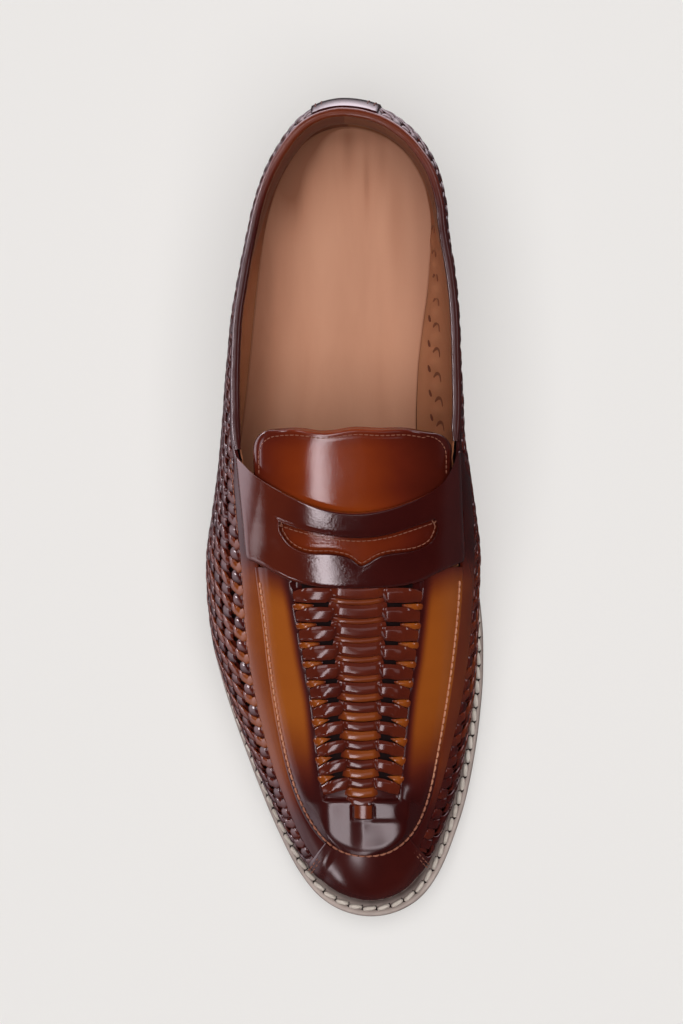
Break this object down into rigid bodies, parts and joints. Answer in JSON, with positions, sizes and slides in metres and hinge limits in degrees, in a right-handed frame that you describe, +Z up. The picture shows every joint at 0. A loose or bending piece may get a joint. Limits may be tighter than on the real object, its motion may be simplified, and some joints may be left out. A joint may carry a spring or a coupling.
{
  "type": "woven penny loafer",
  "caption": "Low slip-on leather loafer for the right foot: woven sides, laced apron, saddle strap with a crescent cut-out, stitched welt and low stacked heel.",
  "frame": {"origin": "on the floor, under the middle of the shoe's length and width", "axes": "+Z up from the floor, +Y from the heel to the toe, +X towards the outer side of the right foot"},
  "size_m": [0.1023, 0.3, 0.101],
  "materials": {
    "sole_rubber": "matt dark brown",
    "welt_leather": "taupe, edge dressed, cream stitches",
    "heel_leather": "stacked and stained dark brown",
    "lift_rubber": "matt near-black",
    "insole_leather": "natural tan sock",
    "upper_leather": "burnished amber to dark burgundy, polished",
    "tongue_leather": "burnished orange-brown, polished",
    "strap_leather": "polished burgundy",
    "binding_leather": "glossy rolled burgundy",
    "strip_leather": "polished burgundy, double stitched"
  },
  "bodies": {
    "root": {"outsole": "sole_rubber", "welt": "welt_leather", "heel_stack": "heel_leather", "heel_top_lift": "lift_rubber", "insole": "insole_leather", "upper": "upper_leather", "tongue": "tongue_leather", "saddle_strap": "strap_leather", "collar_binding": "binding_leather", "back_strip": "strip_leather"}
  },
  "joints": []
}
